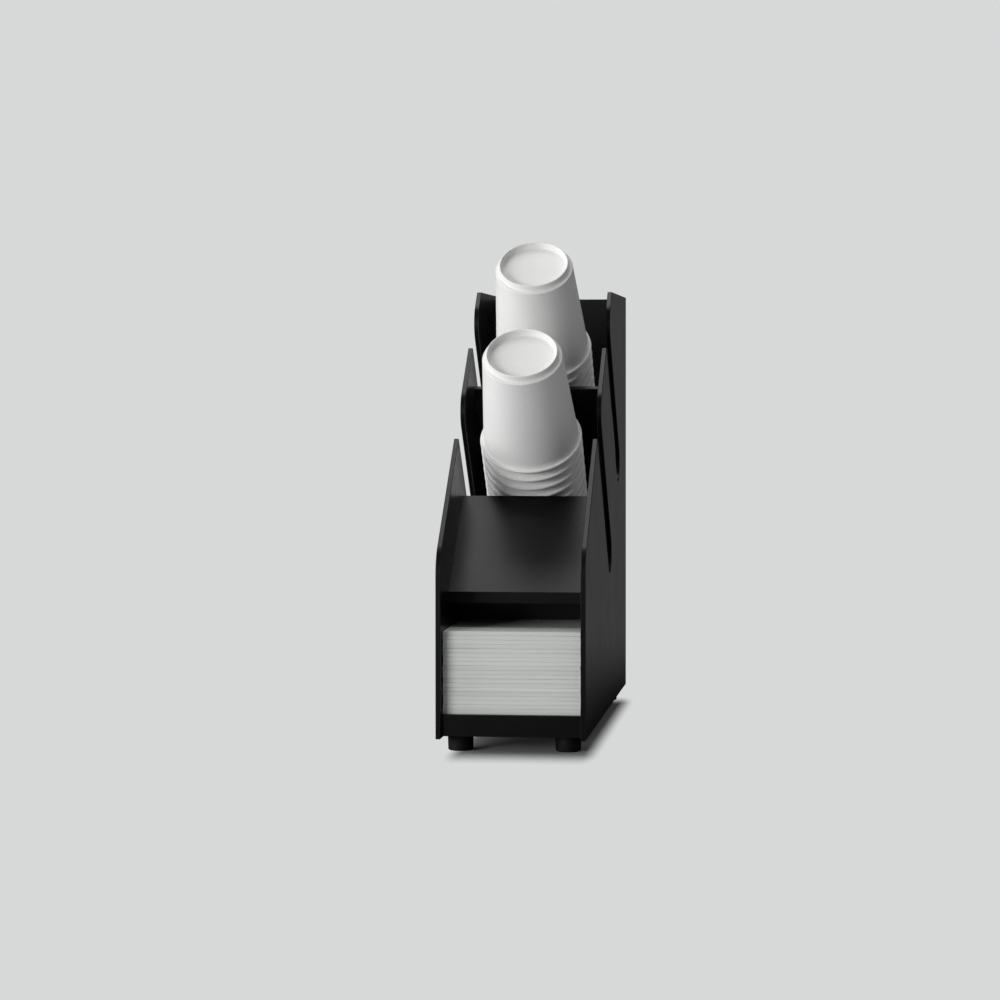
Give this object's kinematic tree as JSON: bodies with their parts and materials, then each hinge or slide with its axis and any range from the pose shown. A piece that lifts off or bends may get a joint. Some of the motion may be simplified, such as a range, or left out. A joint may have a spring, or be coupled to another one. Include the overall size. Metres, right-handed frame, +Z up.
{
  "type": "cup dispenser",
  "caption": "Countertop organiser with tilted bays of nested paper cups, slotted side panels and an open napkin compartment below a sloping cover.",
  "frame": {"origin": "on the floor, in the middle of the footprint", "axes": "+Z up, +X to the right of a person facing the front, the front faces -Y"},
  "size_m": [0.12, 0.39, 0.4163],
  "materials": {
    "black_sheet": "satin",
    "foot_rubber": "matte",
    "screw_steel": "satin",
    "insert_brass": "satin",
    "napkin_paper": "matte",
    "cup_paper": "satin"
  },
  "bodies": {
    "cabinet": {"side_panel_left": "black_sheet", "side_panel_right": "black_sheet", "base_plate": "black_sheet", "kick_plate": "black_sheet", "cover_plate": "black_sheet", "cover_lip": "black_sheet", "front_bay_floor": "black_sheet", "bay_divider": "black_sheet", "front_bay_stop": "black_sheet", "rear_bay_stop": "black_sheet", "rear_panel": "black_sheet", "napkin_backstop": "black_sheet", "foot_front_left": "foot_rubber", "foot_front_right": "foot_rubber", "foot_rear_left": "foot_rubber", "foot_rear_right": "foot_rubber", "foot_screws": "screw_steel", "foot_inserts": "insert_brass"},
    "front_stack": {"front_cup_02": "cup_paper", "front_cup_03": "cup_paper", "front_cup_04": "cup_paper", "front_cup_05": "cup_paper", "front_cup_06": "cup_paper", "front_cup_07": "cup_paper", "front_cup_08": "cup_paper", "front_cup_09": "cup_paper", "front_cup_10": "cup_paper", "front_cup_11": "cup_paper", "front_cup_12": "cup_paper", "front_cup_13": "cup_paper", "front_cup_14": "cup_paper", "front_cup_15": "cup_paper", "front_cup_16": "cup_paper"},
    "front_top_cup": {"front_cup_01": "cup_paper"},
    "rear_stack": {"rear_cup_02": "cup_paper", "rear_cup_03": "cup_paper", "rear_cup_04": "cup_paper", "rear_cup_05": "cup_paper", "rear_cup_06": "cup_paper", "rear_cup_07": "cup_paper", "rear_cup_08": "cup_paper", "rear_cup_09": "cup_paper", "rear_cup_10": "cup_paper", "rear_cup_11": "cup_paper", "rear_cup_12": "cup_paper", "rear_cup_13": "cup_paper", "rear_cup_14": "cup_paper", "rear_cup_15": "cup_paper", "rear_cup_16": "cup_paper"},
    "rear_top_cup": {"rear_cup_01": "cup_paper"},
    "napkin_pile": {"napkin_stack": "napkin_paper"},
    "loose_napkin": {"top_napkin": "napkin_paper"}
  },
  "joints": [
    {"name": "front_stack_slide", "type": "slide", "parent": "cabinet", "child": "front_stack", "axis": [0, -0.6756, 0.7373], "range_m": [0, 0.18]},
    {"name": "front_cup_pull", "type": "slide", "parent": "front_stack", "child": "front_top_cup", "axis": [0, -0.6756, 0.7373], "range_m": [0, 0.11]},
    {"name": "rear_stack_slide", "type": "slide", "parent": "cabinet", "child": "rear_stack", "axis": [0, -0.6756, 0.7373], "range_m": [0, 0.18]},
    {"name": "rear_cup_pull", "type": "slide", "parent": "rear_stack", "child": "rear_top_cup", "axis": [0, -0.6756, 0.7373], "range_m": [0, 0.11]},
    {"name": "napkin_pile_lift", "type": "slide", "parent": "cabinet", "child": "napkin_pile", "axis": [0, 0, 1], "range_m": [0, 0.015]},
    {"name": "napkin_pull", "type": "slide", "parent": "napkin_pile", "child": "loose_napkin", "axis": [0, -1, 0], "range_m": [0, 0.12]}
  ]
}
